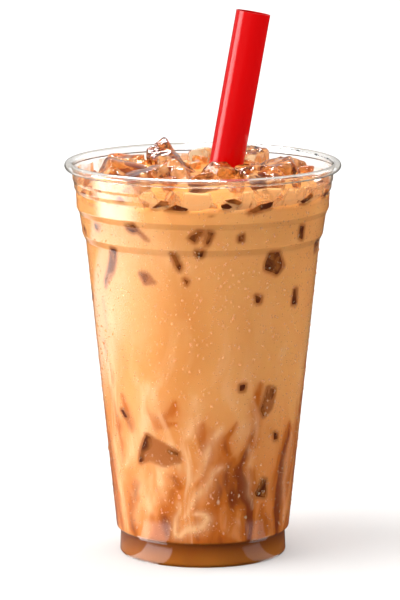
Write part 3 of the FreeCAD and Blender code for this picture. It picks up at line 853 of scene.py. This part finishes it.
# Coffee that runs down through the milk, and cream that curls in it: strokes along the wall through
# points (bearing in degrees, height in millimetres), each with its half width in millimetres and strength.
CARAMEL_STROKES = [
    ([(202, 78), (206, 69), (208, 62), (211, 52), (213, 45), (212, 36)], 1.8, 0.5),
    ([(217, 60), (222, 53), (225, 47)], 1.3, 0.7),
    ([(254, 61), (248, 55), (241, 54), (236, 57)], 2.2, 0.5),
    ([(239, 54), (245, 52), (253, 53)], 1.2, 0.6),
    ([(229, 29), (223, 26), (218, 21), (218, 14), (221, 8)], 1.9, 0.75),
    ([(251, 32), (255, 30)], 1.2, 0.7),
    ([(250, 28), (245, 22), (245, 15), (248, 8)], 2.6, 0.6),
    ([(270, 54), (270, 43)], 1.4, 0.35),
    ([(277, 48), (272, 38), (265, 30)], 1.0, 0.35),
    ([(281, 33), (278, 25), (275, 18), (275, 9)], 2.4, 0.6),
    ([(289, 53), (284, 48), (287, 42)], 1.2, 0.55),
    ([(303, 52), (300, 46), (296, 40), (293, 35), (294, 29), (299, 23), (303, 17), (304, 9)], 1.6, 1.0),
    ([(290, 40), (287, 30), (289, 22), (286, 12)], 3.2, 0.42),
    ([(304, 66), (302, 54), (303, 44)], 2.4, 0.45),
    ([(350, 76), (351, 64), (347, 52)], 2.6, 0.45),
    ([(331, 50), (327, 40), (325, 33), (326, 24), (325, 16), (325, 7)], 2.1, 0.95),
    ([(296, 20), (298, 13), (300, 8)], 1.8, 0.55),
    ([(256, 11), (266, 10), (282, 9), (297, 8)], 3.0, 0.6),
    ([(262, 14), (270, 14)], 1.4, 0.6),
    ([(311, 22), (314, 14), (312, 8)], 2.2, 0.55),
    ([(234, 20), (237, 12), (234, 7)], 2.4, 0.45),
    ([(340, 58), (346, 44), (347, 28), (344, 12)], 2.6, 0.3),
    ([(208, 96), (209, 83)], 1.6, 0.3),
    ([(195, 44), (197, 31), (199, 20), (202, 9)], 2.6, 0.55),
    ([(10, 60), (16, 42), (12, 22), (15, 8)], 2.6, 0.75),
    ([(30, 40), (34, 26), (31, 10)], 2.2, 0.6),
    ([(45, 66), (38, 46), (44, 28), (41, 12)], 1.8, 0.9),
    ([(66, 38), (62, 24), (66, 9)], 2.8, 0.7),
    ([(80, 58), (86, 42), (82, 26), (85, 10)], 1.8, 0.9),
    ([(101, 46), (97, 30), (102, 14)], 2.4, 0.65),
    ([(120, 62), (113, 46), (118, 30), (115, 12)], 1.9, 0.85),
    ([(135, 34), (139, 20), (136, 8)], 3.0, 0.7),
    ([(150, 56), (156, 40), (152, 24), (155, 9)], 2.0, 0.85),
    ([(182, 64), (186, 46), (183, 28), (187, 10)], 2.2, 0.7),
]
CREAM_STROKES = [
    ([(280, 52), (275, 45), (271, 39), (264, 33)], 1.6, 0.75),
    ([(285, 37), (279, 36), (272, 30), (266, 26), (258, 19)], 1.9, 0.85),
    ([(254, 24), (252, 18), (255, 13), (262, 14), (267, 15), (273, 18), (270, 20), (265, 20)], 1.4, 0.9),
    ([(226, 110), (236, 117), (250, 115), (262, 110)], 8.0, 0.38),
    ([(226, 106), (218, 94), (222, 82)], 6.0, 0.35),
    ([(267, 62), (263, 53), (258, 46)], 2.4, 0.6),
    ([(251, 45), (246, 37), (243, 29)], 2.2, 0.65),
    ([(241, 32), (236, 23)], 2.4, 0.5),
    ([(225, 23), (222, 14)], 2.2, 0.5),
    ([(256, 51), (259, 42), (260, 36), (262, 30)], 1.2, 0.55),
    ([(239, 66), (232, 48), (218, 35)], 3.8, 0.8),
    ([(213, 80), (211, 66), (214, 54)], 4.0, 0.45),
    ([(209, 46), (210, 36), (207, 27)], 3.0, 0.5),
    ([(231, 34), (230, 24), (234, 20)], 3.0, 0.6),
    ([(299, 46), (301, 38), (298, 30), (302, 22)], 1.1, 0.4),
    ([(208, 34), (206, 22), (210, 11)], 2.4, 0.5),
    ([(334, 46), (332, 30), (336, 14)], 1.8, 0.4),
    ([(30, 56), (24, 42), (30, 28)], 1.8, 0.6),
    ([(58, 50), (53, 36), (57, 20)], 1.8, 0.65),
    ([(92, 54), (96, 40), (91, 24), (94, 12)], 1.8, 0.7),
    ([(128, 52), (124, 36), (129, 20)], 1.8, 0.6),
    ([(168, 52), (164, 36), (170, 22)], 2.0, 0.6),
]


def smooth_path(path, steps=5):
    """The points of a stroke with more between them, on a smooth curve through them all."""
    ends = [2 * path[0] - path[1]] + list(path) + [2 * path[-1] - path[-2]]
    points = []
    for before, start, end, after in zip(ends, ends[1:], ends[2:], ends[3:]):
        for step in range(steps):
            part = step / steps
            straight = 2 * start + (end - before) * part
            curved = (2 * before - 5 * start + 4 * end - after) * part**2
            points.append((straight + curved + (3 * start - before - 3 * end + after) * part**3) / 2)
    return np.array(points + [path[-1]])


def stroke_share(points, strokes, waver):
    """How strongly each point of the drink's side lies in a set of strokes, with wavering edges."""
    bearing = np.arctan2(points[:, 1], points[:, 0]) % (2 * math.pi)
    radius = np.hypot(points[:, 0], points[:, 1]) / MM
    sway = np.array([fractal(point, 16 * MM, 3) for point in points])
    swing = np.array([fractal(point + (0.05, 0.02, 0.01), 12 * MM, 3) for point in points])
    around = bearing * radius + waver * sway
    height = points[:, 2] / MM + waver * swing
    share = np.zeros(len(points))
    full_turn = 2 * math.pi * radius
    for path, half_width, strength in strokes:
        curve = smooth_path(np.array(path, dtype=float))
        value = np.zeros(len(points))
        for number, ((bearing_a, height_a), (bearing_b, height_b)) in enumerate(zip(curve, curve[1:])):
            start = math.radians(bearing_a) * radius
            along_x = math.radians(bearing_b - bearing_a) * radius
            along_z = height_b - height_a
            offset = (around - start + full_turn / 2) % full_turn - full_turn / 2
            part = (offset * along_x + (height - height_a) * along_z) / (along_x**2 + along_z**2)
            part = np.clip(part, 0, 1)
            gap = np.hypot(offset - part * along_x, height - height_a - part * along_z)
            done = (number + part) / (len(curve) - 1)
            width = half_width * (0.35 + 0.65 * np.sin(math.pi * done) ** 0.6)
            halo = np.exp(-((gap / (2.0 * width)) ** 2))
            core = np.exp(-((gap / (0.8 * width)) ** 2))
            value = np.maximum(value, 0.5 * halo + 0.5 * core)
        share = np.maximum(share, strength * value)
    return share * (1 + 0.3 * np.array([fractal(point * (1, 1, 0.4), 4 * MM, 2) for point in points]))


def colour_drink(drink, floating, sunk):
    """Vertex values for its material: where coffee and cream run, and painted shade where ice shows through
    the wall and in the hollows under floating ice.
    """
    mesh = drink.data
    points = coordinates(mesh)
    radius = np.hypot(points[:, 0], points[:, 1])
    on_side = radius > inside_radius(points[:, 2]) - 0.5 * MM
    caramel = np.zeros(len(points))
    cream = np.zeros(len(points))
    side = points[on_side]
    caramel[on_side] = stroke_share(side, CARAMEL_STROKES, 2.0)
    cream[on_side] = stroke_share(side, CREAM_STROKES, 2.0)
    set_attribute(mesh, "caramel", caramel)
    set_attribute(mesh, "cream", cream)

    # Painted shade: a halo around the sunk ice, and darkening in the hollows under the floating ice, darker
    # the deeper under the surface.
    reach = 2.0 * MM
    to_sunk = distances(tree_of([piece.data for piece in sunk]), points, reach)
    shade = 0.6 * smoothstep(1.8 * MM, 0.0, to_sunk) * on_side
    to_floating = distances(tree_of([piece.data for piece in floating]), points, reach)
    below = (crown_height(radius) - points[:, 2]) / MM
    around = 0.95 * smoothstep(1.2 * MM, 0.1 * MM, to_floating) * smoothstep(0.2, 2.4, below)
    set_attribute(mesh, "near_ice", np.maximum(shade, around))
    set_attribute(mesh, "free_surface", smoothstep(1.8, 0.8, below))


# The coat of drink on the wall: how high it reaches over the drink's line, how much lower at the right and
# how unevenly, in millimetres, and how thick it is.
FILM_TOP, FILM_LEAN, FILM_UNEVEN = 7.6, 1.0, 2.4
FILM_THICKNESS = 0.25 * MM


def film_on_wall():
    """A closed band just inside the wall, from under the drink's line to an uneven height over it."""
    segments, rows = 240, 10
    points, faces = [], []
    for step in range(segments):
        angle = 2 * math.pi * step / segments
        across, back = math.cos(angle), math.sin(angle)
        uneven = FILM_UNEVEN * noise.noise(Vector((across, back, 0)) * 3.5)
        top = FILM_TOP - FILM_LEAN * across + uneven
        heights = np.linspace(LEVEL - 1.5 * MM, LEVEL + top * MM, rows)
        points += [polar(inside_radius(height) + WALL_REACH / 4, angle, height) for height in heights]
        points += [polar(inside_radius(height) - FILM_THICKNESS, angle, height) for height in heights[::-1]]
    around = 2 * rows
    for step in range(segments):
        here, ahead = step * around, (step + 1) % segments * around
        for row in range(around):
            above = (row + 1) % around
            faces.append((here + row, ahead + row, ahead + above, here + above))
    film = add_object("milk_film", mesh_from("milk_film", points, faces), MATERIALS["milk_film"])
    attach(film, "root")


# ---------------- condensation

# How far a bead's flat side lies from the inside of the wall: just under its outside.
BEAD_SEAT = WALL - 0.05 * MM


def droplets(name, count, sizes, stretch, segments, rings, heights, seed):
    """Flattened beads of water on the outside of the wall, some a little run down, joined in one mesh."""
    chooser = np.random.default_rng(seed)
    lifts = [math.pi / 2 * ring / rings for ring in range(rings + 1)]
    dome, dome_faces = revolved([(0, 0)] + [(math.cos(lift), math.sin(lift)) for lift in lifts], segments)
    points, faces = [], []
    for bead in range(count):
        height = chooser.uniform(*heights)
        bearing = chooser.uniform(0, 2 * math.pi)
        radius = chooser.uniform(*sizes)
        rise = radius * chooser.uniform(0.5, 0.75)
        droop = chooser.uniform(*stretch)
        slope = (inside_radius(height + MM) - inside_radius(height - MM)) / (2 * MM)
        normal = Vector(polar(1, bearing, -slope)).normalized()
        across = Vector((-math.sin(bearing), math.cos(bearing), 0))
        up = normal.cross(across)
        centre = Vector(polar(inside_radius(height), bearing, height)) + normal * BEAD_SEAT
        axes = np.array([across * radius, up * radius * droop, normal * rise])
        points.append(np.array(centre) + np.array(dome) @ axes)
        faces += [tuple(bead * len(dome) + corner for corner in face) for face in dome_faces]
    beads = add_object(name, mesh_from(name, np.concatenate(points), faces), MATERIALS["water"])
    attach(beads, "root")


# ---------------- put together

for node, slot in (("cup", "clear_plastic"), ("straw", "straw_plastic")):
    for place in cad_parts[node].material_slots:
        place.material = MATERIALS[slot]

floating = floating_ice()
sunk = ice_at_wall()
chips = ice_chips(62, 22, 21, [piece.data for piece in floating] + [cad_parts["straw"].data])
drink = build_drink(floating + [chips])
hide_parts("drink")
colour_drink(drink, floating + [chips], sunk)
film_on_wall()
for piece in floating:
    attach(piece, "root")
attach(drink, "root")
# Each kind of bead: how many, radius, how much taller than wide, sides, rings, heights, and seed.
droplets("condensation_fine", 5000, (0.13 * MM, 0.25 * MM), (1.0, 1.2), 7, 2, (10 * MM, 133 * MM), 11)
droplets("condensation_coarse", 1500, (0.26 * MM, 0.44 * MM), (1.0, 1.4), 9, 3, (11 * MM, 131 * MM), 12)
droplets("condensation_run", 24, (0.42 * MM, 0.58 * MM), (1.3, 1.9), 12, 4, (12 * MM, 62 * MM), 13)

# ---------------- studio

# How bright the surroundings are: to the camera, mirrored by the outside of the cup, mirrored inside
# something clear, and as light on the cup. What is mirrored inside is warm, from the drink around it.
SEEN, MIRRORED, INNER, LIGHTING = 0.98, 0.55, 0.75, 1.2
INNER_COLOUR = rgb(1.0, 0.88, 0.74)
WHITE = rgb(1, 1, 1)
FLOOR_GREY = rgb(0.665, 0.665, 0.665)
FLOOR_GLOW = 0.02
FLOOR_HALF = 30.0


def bounced(nodes):
    """How a ray has come: spread by a matt surface, or only mirrored, by an outer face or an inner one."""
    path = nodes.add("LightPath").outputs
    spread = nodes.math("GREATER_THAN", path["Diffuse Depth"], 0.5)
    glossy = nodes.math("GREATER_THAN", path["Glossy Depth"], 0.5)
    mirrored = nodes.times(glossy, nodes.math("SUBTRACT", 1.0, spread))
    inner = nodes.times(mirrored, nodes.math("GREATER_THAN", path["Transmission Depth"], 0.5))
    return spread, nodes.math("SUBTRACT", mirrored, inner), inner


def floor_paint():
    """A pale matt floor. The outside of the cup mirrors it as dim, with bright cards lying at the left and
    near the foot, and anything clear mirrors it within itself as warm."""
    nodes = Nodes("floor_paint")
    spread, outer, inner = bounced(nodes)
    place = nodes.add("SeparateXYZ", Vector=nodes.position()).outputs
    to_left, to_front = nodes.times(place["X"], -1.0), nodes.times(place["Y"], -1.0)
    turn = nodes.math("DEGREES", nodes.math("ARCTAN2", to_left, to_front))
    reach = nodes.times(nodes.vector("LENGTH", nodes.position())["Value"], 1 / MM)

    def card(level, turns, reaches=()):
        """Light with ramps from none to full: degrees to the left of the front, and millimetres away."""
        ramps = [nodes.between(turn, *ramp) for ramp in turns]
        return nodes.times(level, *ramps, *[nodes.between(reach, *ramp) for ramp in reaches])

    on_left = [(22, 98), (168, 108)]
    broad = nodes.plus(card(0.25, on_left), card(2.9, on_left, [(205, 345), (480, 430)]))
    for_straw = card(11.0, [(50, 78), (118, 94)], [(430, 480)])
    foot_left = card(3.2, [(31.7, 34.5), (68.3, 65.5)], [(70, 62)])
    foot_right = card(1.0, [(-69.2, -66.3), (-42.8, -45.7)], [(70, 62)])
    cards = nodes.plus(0.05, broad, for_straw, foot_left, foot_right)
    warm = nodes.math("MULTIPLY_ADD", broad, 0.25, 0.45)
    strength = nodes.math("MULTIPLY_ADD", cards, outer, nodes.times(warm, inner))
    colour = nodes.mix(inner, WHITE, INNER_COLOUR)
    reflected = nodes.add("Emission", Color=colour, Strength=strength).outputs[0]

    plain = nodes.add("AddShader")
    matt = nodes.add("BsdfDiffuse", Color=FLOOR_GREY).outputs[0]
    unlit = nodes.math("MULTIPLY_ADD", spread, -FLOOR_GLOW, FLOOR_GLOW)
    glow = nodes.add("Emission", Strength=unlit).outputs[0]
    for socket, shader in zip(plain.inputs, (matt, glow)):
        nodes.tree.links.new(shader, socket)
    material = nodes.finish(nodes.blend(nodes.plus(outer, inner), plain.outputs[0], reflected))
    material.cycles.emission_sampling = "NONE"
    return material


def add_floor():
    corners = [(x * FLOOR_HALF, y * FLOOR_HALF, 0) for x, y in ((-1, -1), (1, -1), (1, 1), (-1, 1))]
    floor = add_object("studio_floor", mesh_from("studio_floor", corners, [(0, 1, 2, 3)]), floor_paint())


def add_light(kind, name, azimuth, elevation, distance, energy):
    """A light aimed at the cup. Azimuth 0 is the camera's side, and 90 is the cup's right."""
    lamp = bpy.data.objects.new(name, bpy.data.lights.new(name, kind))
    lamp.data.energy = energy
    bpy.context.scene.collection.objects.link(lamp)
    angle, tilt = math.radians(azimuth), math.radians(elevation)
    away = Vector((math.sin(angle) * math.cos(tilt), -math.cos(angle) * math.cos(tilt), math.sin(tilt)))
    lamp.location = Vector((0, 0, LIP * 0.6)) + away * distance
    lamp.rotation_euler = away.to_track_quat("Z", "Y").to_euler()
    return lamp


def softbox(name, azimuth, elevation, distance, width, height, power):
    """A lamp that shows only as a highlight."""
    lamp = add_light("AREA", name, azimuth, elevation, distance, power)
    lamp.data.shape = "RECTANGLE"
    lamp.data.size = width
    lamp.data.size_y = height
    lamp.visible_diffuse = False


def soft_sun(name, azimuth, elevation, spread, strength):
    """A large soft source, which the cup doesn't mirror."""
    lamp = add_light("SUN", name, azimuth, elevation, 1.5, strength)
    lamp.data.angle = math.radians(spread)
    lamp.data.color = (1.0, 0.985, 0.96)
    lamp.visible_glossy = False


def add_world():
    """An even room, as bright as each kind of ray needs it."""
    nodes = Nodes("studio", "World")
    spread, outer, inner = bounced(nodes)
    strength = SEEN
    for share, level in ((outer, MIRRORED), (inner, INNER), (spread, LIGHTING)):
        strength = nodes.math("MULTIPLY_ADD", share, level - SEEN, strength)
    colour = nodes.mix(inner, WHITE, INNER_COLOUR)
    world = nodes.finish(nodes.add("Background", Color=colour, Strength=strength).outputs[0])
    world.cycles.sampling_method = "NONE"
    bpy.context.scene.world = world


# A long lens over a metre away, above the cup: its lens and sensor in millimetres, its place in metres, how
# many degrees it looks down, and how far it sees in metres.
LENS, SENSOR = 229.9, 36.0
EYE = (-0.001, -1.344, 0.3283)
LOOKS_DOWN = 10.02
SIGHT = 100.0


def add_camera():
    camera = bpy.data.cameras.new("camera")
    camera.lens = LENS
    camera.sensor_width = SENSOR
    camera.clip_end = SIGHT
    eye = bpy.data.objects.new("camera", camera)
    eye.location = EYE
    eye.rotation_euler = (math.radians(90 - LOOKS_DOWN), 0, 0)
    bpy.context.scene.collection.objects.link(eye)
    bpy.context.scene.camera = eye


add_floor()
add_world()
# Suns: azimuth and elevation in degrees, spread in degrees, strength.
soft_sun("key", -58, 34, 32, 1.05)
soft_sun("overhead", -82, 68, 22, 1.15)
soft_sun("behind_right", 130, 20, 30, 0.9)
# Softboxes: azimuth and elevation in degrees, distance, width and height in metres, watts.
softbox("strip_left", -100, 35, 0.9, 0.10, 0.6, 1.6)
softbox("straw_strip", -86, 5, 1.2, 0.75, 0.45, 14.0)
softbox("top_front", 15, 62, 0.9, 0.22, 0.14, 5.0)
softbox("top_back", -160, 55, 1.0, 0.5, 0.16, 9.0)
softbox("right", 75, 40, 1.2, 0.08, 0.4, 0.8)
add_camera()

scene = bpy.context.scene
scene.view_settings.view_transform = "Standard"
scene.view_settings.look = "None"
scene.cycles.use_denoising = True
scene.cycles.max_bounces = 16
scene.cycles.transmission_bounces = 14
scene.cycles.transparent_max_bounces = 16

bpy.context.view_layer.update()
